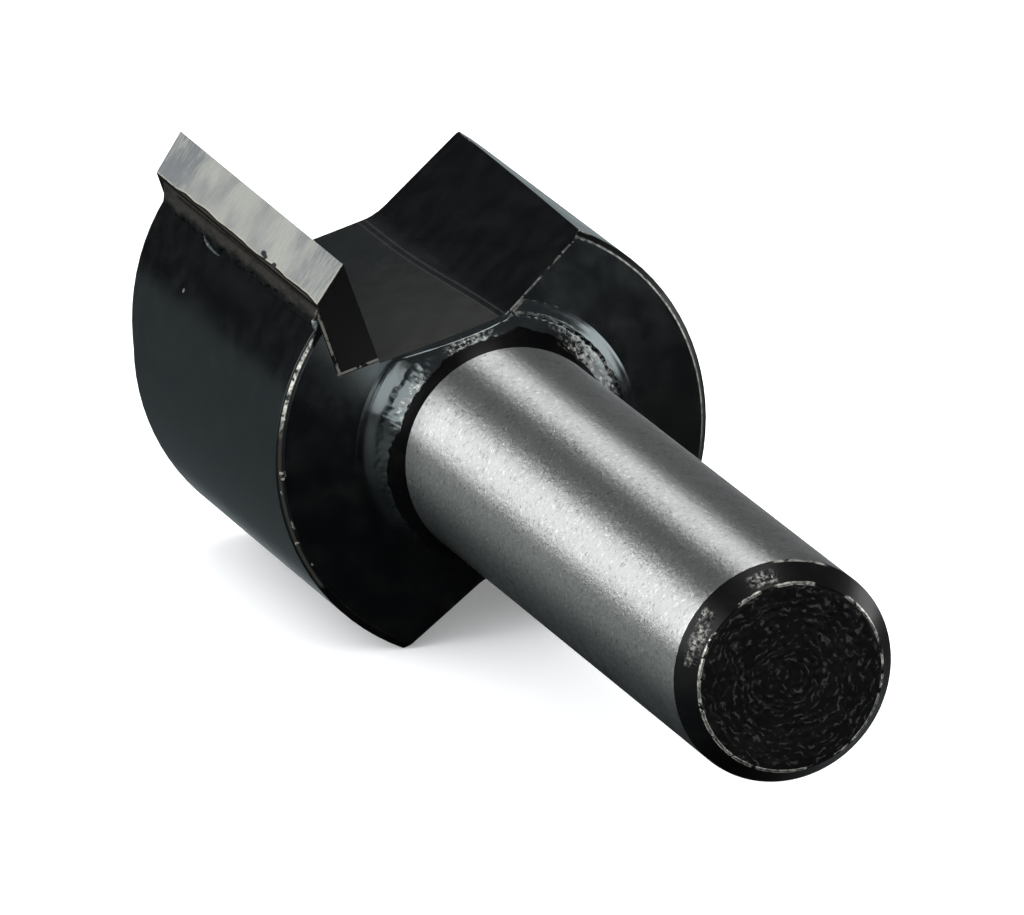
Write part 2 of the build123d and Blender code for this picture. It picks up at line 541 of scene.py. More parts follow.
@dataclass(frozen=True)
class BlackOxideSteel:
    """Hot blackened tool steel, turned and milled.

    The bath turns the surface to magnetite a few microns thick.  To the eye it is near black with
    a hard, slightly blue gloss on turned faces, dull where the steel was left rough, and it wears
    through to bright metal along sharp edges.
    """

    axes: BitAxes
    sizes: BitSizes
    name: str = "black_oxide_turned_steel"
    black: str = "#030304"
    brown_black: str = "#080706"
    film: str = "#262522"  # grinding dust held by oil on a gullet's floor
    bare_steel: str = "#D6D4CB"
    bare_shade: str = "#7E7E79"
    line_grey: str = "#464543"  # metal shining through where a milling cutter's corner ran
    line_strength: float = 0.32
    index: float = 2.2  # magnetite is near 2.4
    turned_roughness: float = 0.16
    sawn_roughness: float = 0.42
    bare_roughness: float = 0.35
    roughness_drift: Span = (-0.02, 0.04)  # from patch to patch
    grain_strength: float = 0.04
    grain_height: float = 0.01
    mottle_width: float = 0.9  # cloudy patches of the bath
    grain_width: float = 0.09  # fine pitting of the coat
    chip_width: float = 0.30  # length of a worn spot along an edge
    stretch_width: float = 1.6  # how far one worn stretch of an edge runs
    edge_reach: float = 0.11  # how far wear reaches from an edge
    rim_width: float = 0.065  # half the width of the worn rim round the sawn end
    painted_glint_span: Span = (32.0, 16.0)  # this and the next four: bearing and half width, degrees; this one the painted highlight on the chamfer's outer rim
    wear_and_highlight_span: Span = (110.0, 16.0)  # the head's back corner, bright: partly wear, partly painted highlight
    spot_span: Span = (140.0, 40.0)  # the same corner, single spots
    thin_span: Span = (-18.0, 44.0)  # the same corner, a thin line inside it
    heel_span: Span = (26.0, 14.0)  # a gullet's heel where it leaves the back
    heel_chip_width: float = 0.26
    front_wear: Span = (2.2, 1.2)  # how far behind the front its edges' wear and painted highlight begins and is full
    chamfer_dulling: float = 0.20  # roughness added on the head's back corner
    gloss: float = 0.5  # the shader's own specular level
    corner_gloss: float = 0.03  # specular level on the head's back corner
    hazed: Rows = (
        (118.0, 52.0, 5.36, 0.34),
        (-14.0, 40.0, 4.50, 0.14),
    )  # bearing, half width in degrees, outer radius and specular level of the neck's dull places
    gloss_tint: str = "#ECFCFF"  # the coat's thin-film blue
    # partly painted highlights: flecks of bare steel laid where the fillet's highlights fall
    neck_scuffs_and_highlights: Rows = (
        (58.0, 15.0, 4.34, 0.15, 0.6),
        (98.0, 17.0, 4.26, 0.14, 0.42),
        (-6.0, 27.0, 4.80, 0.20, 0.30),
        (-10.0, 24.0, 4.42, 0.24, 0.30),
    )  # bearing, half width in degrees, radius, half width and share of bare steel
    scuff_width: float = 0.16
    knocks: Rows = (
        (56.0, 9.0, 30.62, 0.30),
        (93.0, 5.0, 30.44, 0.22),
        (104.0, 11.0, 30.60, 0.30),
        (116.0, 6.0, 30.56, 0.16),
    )  # bearing, half width in degrees, place along the centreline and half width
    knock_width: float = 0.14  # bright flecks inside a knocked place
    residue: str = "#232322"  # what the sawn end's grooves hold
    residue_width: float = 0.32
    ring_pitch: float = 0.30
    swirl_width: float = 1.1
    swirl: float = 34.0  # how far noise bends the sawn end's rings, in radians
    dust: tuple[float, float, float] = (-2.72, 7.76, -12.04)  # a grain that stuck in the bath
    dust_size: float = 0.10
    film_edge: float = 3.20  # bit x where a gullet's floor turns up into its wall
    second_line: float = 3.42  # where the milling cutter's corner left a second line
    line_drift: float = 0.42  # how far both lines stray towards the back

    def corner_wear_and_highlight(self, at: Spot, chips: Field) -> Field:
        """Bare steel on the head's back corner, partly wear, partly painted highlight: a bright
        stretch, single spots and a thin line.

        Args:
            at: the point.
            chips: noise that breaks the wear up.

        Returns:
            A share, 1 on bare steel.
        """
        head, drop = self.sizes.head_radius, self.sizes.back_chamfer
        chamfer = at.radius.ramp(head - 0.34, head - 0.27)
        # partly painted highlight: bare steel laid along the line where the corner's highlight
        # falls
        strong = chamfer * at.along.band(0.45 * drop, 0.055)
        strong = strong * at.bearing.band(*self.wear_and_highlight_span) * chips.ramp(0.39, 0.53, 0.0, 0.75)
        spots = chamfer * at.along.band(0.7 * drop, 0.09)
        spots = spots * at.bearing.band(*self.spot_span) * chips.ramp(0.62, 0.68)
        thin = at.radius.band(head - 0.23, 0.045) * at.along.ramp(0.1, 0.15)
        thin = thin * at.bearing.band(*self.thin_span) * chips.ramp(0.34, 0.46, 0.0, 0.4)
        return any_of(strong, spots, thin)

    def edge_wear_and_highlight(self, at: Spot, chips: Field) -> Field:
        """Bare steel along sharp edges: wear at the heel's back end, wear and painted highlight at
        the head's front.

        An edge is where the normal rounded over edge_reach leaves the true one.

        Args:
            at: the point.
            chips: noise that breaks the wear up.

        Returns:
            A share, 1 on bare steel.
        """
        soft = chips.add("ShaderNodeBevel", {"samples": 6, "Radius": self.edge_reach * MM})
        hard = chips.add("ShaderNodeNewGeometry", {}).outputs["True Normal"]
        settings = {"operation": "DOT_PRODUCT", 0: soft.outputs[0], 1: hard}
        agree = Field(chips.add("ShaderNodeVectorMath", settings).outputs["Value"])
        heel = agree.ramp(0.999, 0.97) * at.place.noise(self.heel_chip_width, 2.0).ramp(0.44, 0.54)
        heel = heel * at.bearing.band(*self.heel_span) * at.along.band(0.35, 0.7)
        begin, full = (self.sizes.head_front + reach for reach in self.front_wear)
        # partly painted highlight: grey bare steel along the head's front edges, so that they stand
        # out
        front = agree.ramp(0.99, 0.94, 0.0, 0.5) * chips.ramp(0.36, 0.52)
        return heel | front * at.along.ramp(begin, full)

    def end_wear_and_glint(self, at: Spot, chips: Field) -> Field:
        """Bare steel on the shank end: its chamfer's worn inner rim, the knocks on it, and a
        painted highlight on its outer rim.

        Args:
            at: the point.
            chips: noise that breaks the wear up.

        Returns:
            A share, 1 on bare steel.
        """
        size = self.sizes
        rim = at.radius.band(size.end_face_radius, self.rim_width)
        rim = rim * at.along.ramp(size.shank_end - 0.14, size.shank_end - 0.09)
        stretch = at.place.noise(self.stretch_width, 1.0)
        rim = rim * stretch.ramp(0.38, 0.44) * chips.ramp(0.41, 0.50)
        # painted highlight: bare steel on the chamfer's outer rim, only over the bearings where its
        # glint falls
        outer = at.along.band(size.ground_to + 0.03, 0.08)
        outer = outer * at.bearing.band(*self.painted_glint_span) * chips.ramp(0.30, 0.45)
        flecks = at.place.noise(self.knock_width, 2.0).ramp(0.40, 0.74, 0.0, 0.42)
        knocked = (
            at.bearing.band(middle, spread) * at.along.band(level, reach) * flecks
            for middle, spread, level, reach in self.knocks
        )
        return any_of(rim, outer, *knocked)

    def scuffs_and_highlights(self, at: Spot) -> Field:
        """Bare steel flecks on the neck: partly scuffs where the grinding wheel's rim ran out
        against the head, partly painted highlights.

        Args:
            at: the point.

        Returns:
            A share, 1 on bare steel.
        """
        flecks = at.place.noise(self.scuff_width, 2.0)
        drop, end = self.sizes.back_chamfer, self.sizes.neck_end
        neck = at.along.ramp(drop + 0.3, drop + 0.4) * at.along.ramp(end + 0.1, end)
        marks = (
            at.bearing.band(middle, spread)
            * at.radius.band(level, reach)
            * flecks.ramp(0.47, 0.62, 0.0, most)
            for middle, spread, level, reach, most in self.neck_scuffs_and_highlights
        )
        return any_of(*marks) * neck

    def floor_film(self, at: Spot, mottle: Field) -> tuple[Field, Field]:
        """Where a gullet's floor carries its thin dusty film, thicker towards the shank.

        Args:
            at: the point.
            mottle: slow noise that clouds the film.

        Returns:
            Two shares: 1 where the film is thickest, and 1 on the cutter's two lines.
        """
        size = self.sizes
        x, y, z = at.place.parts()
        side = x * y.join("SIGN") - z.ramp(-12.0, 1.5, 0.0, self.line_drift)
        rim = size.back_chamfer + size.shoulder_rim * tan(size.shoulder_slope)
        above = z + at.radius * tan(size.shoulder_slope) - rim
        inside = at.radius.ramp(size.head_radius - 0.04, size.head_radius - 0.12)
        inside = inside * above.ramp(-0.02, -0.08) * z.ramp(size.head_front, size.head_front + 0.3)
        off_centre = y.join("ABSOLUTE")
        inside = inside * off_centre.ramp(0.40 * size.neck_radius, 0.46 * size.neck_radius)
        floor = side.ramp(self.film_edge + 0.02, self.film_edge - 0.02)
        deep = z.ramp(size.head_front + 2.0, 0.5, 0.12)
        cloud = mottle.ramp(0.25, 0.75, 0.75)
        lines = side.band(self.film_edge, 0.035) | side.band(self.second_line, 0.045)
        return floor * deep * cloud * inside, lines * inside * cloud

    def specular(self, at: Spot, corner: Field) -> Field:
        """The specular level, lower on the neck's hazed places and the head's back corner.

        Args:
            at: the point.
            corner: the share of the head's back corner.

        Returns:
            The level.
        """
        size = self.sizes
        between = at.along.ramp(size.shank_end - 2, size.neck_end + 1)
        between = between * at.along.ramp(size.head_front + 0.1, size.head_front + 0.5)
        gloss = self.gloss
        for middle, spread, outside, level in self.hazed:
            haze = at.bearing.band(middle, spread) * at.radius.ramp(outside + 0.3, outside)
            gloss = (haze * between).values(gloss, level)
        return corner.values(gloss, self.corner_gloss)

    def build(self) -> bpy.types.Material:
        """Make the material.

        Returns:
            The finish for the body.
        """
        size = self.sizes
        material, tree, shader = new_material(self.name)
        place = self.axes.coordinates(tree)
        at = Spot(place, place.parts()[2], *place.polar())
        mottle = place.noise(self.mottle_width, 4.0)
        chips = place.noise(self.chip_width, 3.0)
        dust = place.distance(self.dust).ramp(self.dust_size, 0.4 * self.dust_size)
        corner_wear_and_highlight = self.corner_wear_and_highlight(at, chips)
        edge_wear_and_highlight = self.edge_wear_and_highlight(at, chips)
        # bare steel from wear, with painted highlights on the head's corners and edges, the end's
        # outer rim and the neck
        worn = any_of(self.end_wear_and_glint(at, chips), dust, corner_wear_and_highlight, edge_wear_and_highlight, self.scuffs_and_highlights(at))

        film, lines = self.floor_film(at, mottle)
        coat = mottle.ramp(0.45, 0.75).colours(self.black, self.brown_black)
        coat = film.colours(coat, self.film)
        coat = (lines * self.line_strength).colours(coat, self.line_grey)
        sawn = at.along.ramp(size.shank_end - 0.05, size.shank_end - 0.02)
        sawn = sawn * at.radius.ramp(size.end_face_radius, size.end_face_radius - 0.05)
        rings = at.radius * (2 * pi / self.ring_pitch)
        rings = (rings + place.noise(self.swirl_width, 3.0) * self.swirl).join("SINE")
        held = sawn * rings.ramp(0.45, 0.95)
        held = held * place.noise(self.residue_width, 3.0).ramp(0.46, 0.62)
        coat = held.colours(coat, self.residue)
        patchy = place.noise(0.6 * self.chip_width, 3.0).ramp(0.36, 0.6)
        colour = worn.colours(coat, patchy.colours(self.bare_shade, self.bare_steel))
        corner = at.radius.ramp(size.shoulder_rim - 0.05, size.shoulder_rim + 0.02)
        corner = corner * at.along.ramp(-0.03, 0.03)
        roughness = sawn.values(self.turned_roughness, self.sawn_roughness)
        roughness = roughness + mottle.ramp(0.3, 0.7, *self.roughness_drift)
        roughness = roughness + corner * self.chamfer_dulling
        grain = place.noise(self.grain_width, 2.0)
        settings = {
            "Base Color": colour,
            "Metallic": worn,
            "Roughness": worn.values(roughness, self.bare_roughness),
            "Specular IOR Level": self.specular(at, corner),
            "Normal": grain.bump(self.grain_strength, self.grain_height),
            "IOR": self.index,
            "Specular Tint": self.gloss_tint,
        }
        set_up(shader, settings)
        return material


@dataclass(frozen=True)
class GroundSteel:
    """Centreless-ground tool steel, bare.

    The wheel leaves fine scratches that run round the bar, so a lamp's reflection is drawn out
    along the shank into a straight band and stays crisp across it.
    """

    axes: BitAxes
    bright: str = "#C4C5C4"
    dull: str = "#ACADAD"
    dulling: float = 0.7
    roughness: float = 0.38
    roughness_drift: Span = (-0.03, 0.05)
    stretch: float = 0.95
    stretch_turn: float = 0.25  # in whole turns: a quarter sets it across the scratches
    pit: str = "#77756F"
    glint: str = "#ECECE8"
    scratch_pitch: float = 0.10  # real ones are 0.01; drawn coarser so that they show
    scratches_round: float = 0.35  # how many stretches of scratches fit in 1 mm round the bar
    scratch_share: float = 0.4  # of the relief, beside the specks
    relief_height: float = 0.0145
    speck_width: float = 0.17
    stain_width: float = 1.1

    def build(self) -> bpy.types.Material:
        """Make the material.

        Returns:
            The finish for the ground length of the shank.
        """
        material, tree, shader = new_material("centreless_ground_steel")
        place = self.axes.coordinates(tree)
        fine = (self.scratches_round, self.scratches_round, 1 / self.scratch_pitch)
        scratch = place.drawn(fine).noise(1.0, 3.0, 0.5)
        dark_tone = place.noise(self.stain_width, 5.0, 0.65)
        speck = place.noise(self.speck_width, 3.0, 0.7)
        share = scratch.ramp(0.3, 0.7, 0.0, 0.3) + dark_tone.ramp(0.35, 0.7)
        colour = (share * self.dulling).colours(self.bright, self.dull)
        colour = speck.ramp(0.57, 0.69, 0.0, 0.75).colours(colour, self.pit)
        colour = speck.ramp(0.43, 0.31, 0.0, 0.75).colours(colour, self.glint)
        smooth, rough = (self.roughness + drift for drift in self.roughness_drift)
        round_shank = {"direction_type": "RADIAL", "axis": "Y"}
        settings = {
            "Base Color": colour,
            "Metallic": 1.0,
            "Roughness": dark_tone.ramp(0.3, 0.75, smooth, rough),
            "Anisotropic": self.stretch,
            "Anisotropic Rotation": self.stretch_turn,
            "Normal": (scratch * self.scratch_share + speck).bump(1.0, self.relief_height),
            "Tangent": add_node(tree, "ShaderNodeTangent", round_shank).outputs[0],
        }
        set_up(shader, settings)
        return material


@dataclass(frozen=True)
class GroundCarbide:
    """Tungsten carbide with a diamond-ground flank.

    It is a light, slightly warm grey metal.  The wheel crosses the edge and leaves faint short
    lines over the flank, and the end that was faced with the head is as black as the head.
    """

    axes: BitAxes
    light: str = "#CBCCC5"
    shade: str = "#94989B"
    black: str = "#040404"
    roughness: float = 0.55
    roughness_drift: Span = (-0.04, 0.06)
    faced_roughness: float = 0.28
    gloss: float = 0.5  # the shader's own specular level
    faced_gloss: float = 0.22  # specular level on the faced end
    line_pitch: float = 0.13
    line_length: float = 0.55
    line_tip: float = 0.25  # how far the lines lean from square across the edge, in radians
    line_strength: float = 0.1
    line_height: float = 0.01
    cloud_width: float = 2.0
    # painted shadow: near-black laid in a thin line just past the flank's heel
    dark_tone: str = "#14130F"
    # painted highlight: a warm pale line along the flank's heel and at the tip's back corner
    painted_edge_highlight: str = "#E6E0CC"
    heel: float = -0.139  # across the tip, where its flank ends
    creep: Span = (0.05, 0.11)  # how far solder crept over the heel
    creep_width: float = 3.0
    crept_solder: str = "#4A4742"
    lean: float = 0.00908  # how the tip leans forward, per mm along it
    flank_foot: float = 8.70
    nicks: Rows = (
        (0.15, 8.74, -6.38, 0.13),
        (0.09, 8.73, -6.10, 0.10),
        (0.05, 8.73, -5.05, 0.11),
        (-0.02, 8.71, -15.9, 0.08),
    )  # bit x, y, z and radius
    nick_stretch: float = 2.4  # how much longer a nick is along the tip than across it

    def flank(self, z: Field, lines: Field, cloud: Field) -> Field:
        """The flank's colour: ground lines and clouds, with painted shade towards both ends.

        Args:
            z: distance along the centreline.
            lines: noise drawn out along the grinding.
            cloud: slow noise.

        Returns:
            The colour.
        """
        share = (lines.ramp(0.35, 0.7, 0.0, 0.55) + cloud.ramp(0.36, 0.64, 0.0, 1.1)) * 0.5
        # painted shade: the flank is darker towards both its ends
        ends = z.ramp(-4.5, -1.2, 0.0, 0.45) | z.ramp(-14.3, -16.3, 0.0, 0.8)
        return (share + ends * lines.ramp(0.2, 0.7)).colours(self.light, self.shade)

    def crept(self, z: Field) -> Field:
        """How far solder crept over the flank's heel, less towards both ends.

        Args:
            z: distance along the centreline.

        Returns:
            The distance in millimetres.
        """
        down_length = Place(z.add("ShaderNodeCombineXYZ", {2: z}).outputs[0])
        crept = down_length.noise(self.creep_width, 2.0, 0.4).ramp(0.36, 0.62, *self.creep)
        return crept * z.ramp(-16.3, -14.8) * z.ramp(0.1, -1.5, 0.2)

    def build(self) -> bpy.types.Material:
        """Make the material.

        Returns:
            The finish for both tips.
        """
        material, tree, shader = new_material("tungsten_carbide_diamond_ground")
        place = self.axes.coordinates(tree)
        x, y, z = place.parts()
        fine = (1 / self.line_length, 1 / self.line_length, 1 / self.line_pitch)
        lines = place.drawn(fine, self.line_tip).noise(1.0, 3.0)
        colour = self.flank(z, lines, place.noise(self.cloud_width, 4.0, 0.5))
        crept = self.crept(z)
        across = x * y.join("SIGN") + z * self.lean - crept
        # painted highlight along the flank's heel and at the tip's back corner
        edge = across.ramp(self.heel + 0.09, self.heel + 0.03, 0.0, 0.7) * lines.ramp(0.32, 0.56)
        corner = z.ramp(-0.22, -0.08, 0.0, 0.5)
        colour = (edge | corner).colours(colour, self.painted_edge_highlight)
        over = across.ramp(self.heel + 0.012, self.heel - 0.004) * crept.ramp(0.0, 0.02)
        colour = over.colours(colour, self.crept_solder)
        # painted shadow: a thin near-black line just past the flank's heel and along its foot
        under = y.join("ABSOLUTE").ramp(self.flank_foot, self.flank_foot - 0.015)
        under = under * across.ramp(self.heel + 0.06, self.heel + 0.02)
        under = under | across.band(self.heel - 0.012, 0.036)
        colour = under.colours(colour, self.dark_tone)
        faced = z.ramp(-0.03, -0.01)
        short = place.drawn((1.0, 1.0, 1 / self.nick_stretch))
        nicks = (
            short.distance((nick_x, nick_y, nick_z / self.nick_stretch)).ramp(reach, 0.7 * reach)
            for nick_x, nick_y, nick_z, reach in self.nicks
        )
        black = any_of(faced, *nicks)
        smooth, rough = (self.roughness + drift for drift in self.roughness_drift)
        roughness = lines.ramp(0.3, 0.7, smooth, rough)
        settings = {
            "Base Color": black.colours(colour, self.black),
            "Metallic": black.ramp(0.0, 1.0, 1.0, 0.0),
            "Roughness": faced.values(roughness, self.faced_roughness),
            "Specular IOR Level": faced.ramp(0.0, 1.0, self.gloss, self.faced_gloss),
            "Normal": lines.bump(self.line_strength, self.line_height),
        }
        set_up(shader, settings)
        return material


@dataclass(frozen=True)
class DulledSolder:
    """Silver solder after the torch and the blackening bath.

    It ran and froze in lumps, so it is a soft dark grey metal with a broken gloss.
    """

    axes: BitAxes
    name: str = "silver_solder_torch_dulled"
    grey: str = "#4F4C47"
    dark: str = "#2B2926"
    faced: str = "#85847E"  # brighter where the facing cut went through it
    edge: Span = (1.6026, 8.9070)  # bit x and y of the cutting edge
    rake_bearing: float = radians(59.5)
    tip_height: float = 3.6
    tip_thickness: float = 1.4
    wall_joint: float = 0.18
    floor_joint: float = 0.15
    soot: str = "#080808"
    fade: Span = (93.3, 95.3)  # bearings between which the bath's black begins
    fade_wander: float = 1.2  # how far lumps move that edge, in degrees
    sooted_back: float = 1.0  # share of the bath's black on the back face
    metallic: float = 0.85
    roughness: float = 0.38
    roughness_drift: Span = (-0.08, 0.12)
    lump_width: float = 0.35
    lump_squeeze: float = 0.4  # pattern scale along the tip, where lumps run longer
    lump_strength: float = 0.08
    lump_height: float = 0.02

    def on_tip(self, across: Field, depth: Field) -> tuple[Field, Field]:
        """Distances down the rake face and behind it.

        Each is the sum of the steps from the cutting edge along x and y, each times the cosine
        or sine of the rake's bearing.

        Args:
            across: bit x, turned onto the first wing.
            depth: bit y, turned onto the first wing.

        Returns:
            How far down, and how far behind.
        """
        step_x, step_y = across - self.edge[0], depth - self.edge[1]
        ahead, up = cos(self.rake_bearing), sin(self.rake_bearing)
        return step_x * -ahead + step_y * -up, step_x * -up + step_y * ahead

    def build(self) -> bpy.types.Material:
        """Make the material.

        Returns:
            The finish for the seams and what ran out of them.
        """
        material, tree, shader = new_material(self.name)
        place = self.axes.coordinates(tree)
        lumps = place.drawn((1.0, 1.0, self.lump_squeeze)).noise(self.lump_width, 4.0, 0.65)
        x, y, z = place.parts()
        across, depth = x * y.join("SIGN"), y.join("ABSOLUTE")
        down, behind = self.on_tip(across, depth)
        wall = behind.band(self.tip_thickness + self.wall_joint / 2, 0.07) * down.ramp(0.95, 1.05)
        under = down.band(self.tip_height + self.floor_joint / 2, 0.06)
        face = (wall | under) * z.ramp(0.02, 0.08) * lumps.ramp(0.66, 0.46)
        colour = lumps.ramp(0.35, 0.7).colours(self.grey, self.dark)
        colour = face.colours(colour, self.faced)
        bearing = depth.join("ARCTAN2", across) * (180 / pi)
        bearing = bearing + lumps.ramp(0.3, 0.7, 0.0, self.fade_wander)
        on_back = z.ramp(0.02, 0.06, 0.0, self.sooted_back) - face
        away = (bearing.ramp(*self.fade) | on_back) * face.ramp(0.6, 0.1)
        smooth, rough = (self.roughness + drift for drift in self.roughness_drift)
        settings = {
            "Base Color": away.colours(colour, self.soot),
            "Metallic": self.metallic,
            "Roughness": lumps.ramp(0.3, 0.7, smooth, rough),
            "Normal": lumps.bump(self.lump_strength, self.lump_height),
        }
        set_up(shader, settings)
        return material


# ---------------------------------------------------------------------------------------------
# Sub-assemblies
# ---------------------------------------------------------------------------------------------


@dataclass
class SteelBody:
    """The body: the CAD node itself, and the skins that grinding, turning and knocks left."""

    axes: BitAxes = BitAxes()
    sizes: BitSizes = BitSizes()
    around: int = 288
    skin_lift: float = 0.006
    skin_depth: float = 0.1
    skin_corner: float = 0.05
    neck_around: int = 720
    neck_rows: int = 124
    inner_rows: int = 4
    neck_lift: float = 0.014
    neck_depth: float = 0.12
    neck_sink: float = 0.03  # how far under the body the skin's two edges lie
    neck_fade: float = 0.05  # share of the section over which each edge rises
    neck_cover: float = 5.46  # how far out over the shoulder the turned skin goes
    neck_round: float = 4.7  # the neck's middle radius, round which its noise is drawn
    gullet_gap: float = 0.10
    least_lean: float = 0.05  # below this cosine a gullet's face is out of reach
    ridge: Rows = (
        (-60.0, 4.90, 0.10, 0.28, 0.055),
        (25.0, 4.97, 0.10, 0.33, 0.082),
        (36.0, 4.90, 0.10, 0.30, 0.050),
        (46.0, 4.42, 0.08, 0.12, 0.020),
        (72.0, 4.36, 0.08, 0.12, 0.020),
        (86.0, 4.74, 0.24, 0.34, 0.080),
        (112.0, 4.78, 0.27, 0.34, 0.088),
        (136.0, 4.72, 0.30, 0.30, 0.045),
        (170.0, 4.60, 0.24, 0.30, 0.020),
        (240.0, 4.40, 0.10, 0.12, 0.020),
        (262.0, 4.80, 0.10, 0.28, 0.055),
        (300.0, 4.90, 0.10, 0.28, 0.055),
    )  # bearing in degrees, then radius, half widths inside and outside, and height
    ridge_wander: Rows = ((0.036, 0.26, 31), (0.017, 0.09, 32))  # this and the next: see uneven
    streaks: Rows = ((0.0014, 0.8, 33),)
    pits: Rows = ((0.0026, 0.20, 34),)
    relief_reach: Rows = (
        (-60.0, 4.40),
        (-16.0, 4.24),
        (0.0, 4.18),
        (16.0, 4.50),
        (32.0, 4.48),
        (44.0, 4.25),
        (68.0, 4.23),
        (84.0, 4.15),
        (114.0, 4.15),
        (134.0, 4.45),
        (170.0, 4.40),
        (230.0, 4.36),
        (300.0, 4.50),
    )  # bearing in degrees, and the radius where the sooty relief groove ends
    relief_wander: Rows = ((0.035, 0.3, 35), (0.02, 0.09, 36))
    relief_rows: int = 30
    relief_lift: float = 0.03  # over the turned skin
    relief_gap: float = 0.03
    relief_sink: float = 0.01
    relief_fade: float = 0.12
    bruises: Rows = (
        (56.0, 11.0, 0.60),
        (93.0, 6.0, 0.40),
        (104.0, 13.0, 0.58),
        (116.0, 7.0, 0.55),
    )  # bearing, half width in degrees, and place across the chamfer, 0 at its outer edge
    bruise_reach: float = 0.34  # half a bruise's size across the chamfer, as a share of it
    bruise_rough: Rows = ((1.0, 0.16, 41), (0.5, 0.07, 42))
    bruise_height: float = 0.0105
    chamfer_rows: int = 46
    chamfer_round: float = 4.0  # radius round which the chamfer's noise is drawn
    chamfer_length: float = 1.08
    chamfer_lift: float = 0.012
    chamfer_fade: float = 0.08
    chamfer_sink: float = 0.02
    chamfer_start: tuple[float, float] = (0.004, 0.006)  # inside the shank, and past the ground
    chamfer_wear: Rows = ((0.006, 0.9, 43),)  # unevenness of its inner corner
    lip: float = 0.10  # how far the chamfer's skin turns over the end face, and its depth
    lip_drop: float = 0.012
    lip_bulge: float = 0.004
    end_rings: int = 130
    end_cover: float = 3.31
    end_lift: float = 0.008
    end_floor: float = 0.018  # middle height of the relief
    end_depth: float = 0.05
    end_fade: float = 0.1  # width of the disc's smooth rim
    turning_pitch: float = 0.34
    turning_height: float = 0.016
    turning_bend: Rows = ((1.1, 2.2, 11),)
    pit_height: float = 0.022
    pit_noise: Rows = ((1.0, 0.34, 12),)
    pit_bend: float = 1.2  # how far the pits bend the rings, in radians
    patch_noise: Rows = ((1.0, 1.1, 13),)

    def ground_skin(self) -> bpy.types.Object:
        """The ground length of the shank as a thin closed sleeve.

        The outline of its wall, distance along the centreline against radius, is carried round
        the centreline.  Its outer ends are rounded by a small corner.

        Returns:
            The sleeve.
        """
        outer = self.sizes.shank_radius + self.skin_lift
        inner = [self.sizes.shank_radius - self.skin_depth]
        low, high, corner = self.sizes.ground_from, self.sizes.ground_to, self.skin_corner
        bend = np.linspace(0, pi / 2, 5)
        near, far = corner * (1 - np.sin(bend)), corner * (1 - np.cos(bend))
        wall = np.linspace(low + corner, high - corner, 60)[1:-1]
        z = np.concatenate([[low], low + far, wall, high - near, [high]])
        straight = np.full(wall.shape, outer)
        r = np.concatenate([inner, outer - near, straight, outer - far, inner])
        angle = whole_turn(self.around)
        return closed_piece("shank_ground_skin", self.axes.place(r[:, None], angle, z[:, None]))

    def neck_limit(self, angle: np.ndarray) -> np.ndarray:
        """How far out the neck's skin may go before a gullet cuts the shoulder away.

        A gullet takes away what lies beyond both its floor and its heel wall, so at a bearing
        the shoulder ends at the greater of each one's distance over the cosine of the bearing
        from its square.

        Args:
            angle: bearings in the bit's axes.

        Returns:
            One radius per bearing.
        """
        size = self.sizes
        limit = np.full(angle.shape, self.neck_cover)
        faces = (size.floor_bearing, size.floor_distance), (size.wall_bearing, size.wall_distance)
        for turn in (0.0, pi):
            floor, wall = (
                distance / np.maximum(np.cos(angle - square - turn), self.least_lean)
                for square, distance in faces
            )
            limit = np.minimum(limit, np.maximum(floor, wall) - self.gullet_gap)
        return limit

    def neck_arc(self) -> tuple[np.ndarray, float, float]:
        """The fillet that leaves the shoulder's cone at the hub and ends at the neck.

        The arc's centre is the hub plus its radius along the cone's normal, and the radius is
        the squared hub-to-neck distance over twice that distance's share along the normal.

        Returns:
            The centre as radius and distance along the centreline, the arc's radius, and the
            tilt of its normal at the neck.
        """
        size = self.sizes
        slope = size.shoulder_slope
        hub_z = size.back_chamfer + (size.shoulder_rim - size.hub_radius) * np.tan(slope)
        normal = np.array([sin(slope), cos(slope)])
        chord = np.array([size.neck_radius - size.hub_radius, size.neck_end - hub_z])
        bend = chord @ chord / (2 * chord @ normal)
        centre = np.array([size.hub_radius, hub_z]) + bend * normal
        return centre, bend, np.arccos((centre[1] - size.neck_end) / bend)

    def neck_skin(self) -> bpy.types.Object:
        """The turned fillet behind the head as a thin closed sleeve with real tool marks.

        Beyond the hub it follows the cone.  Height over the section is a lift, plus a bell-shaped
        ridge around the tool line, streaks of noise drawn out along the turning, and pits inside
        the ridge.

        Returns:
            The sleeve.
        """
        size = self.sizes
        slope = size.shoulder_slope
        centre, bend, steep = self.neck_arc()
        angle = whole_turn(self.neck_around)
        limit = self.neck_limit(angle)
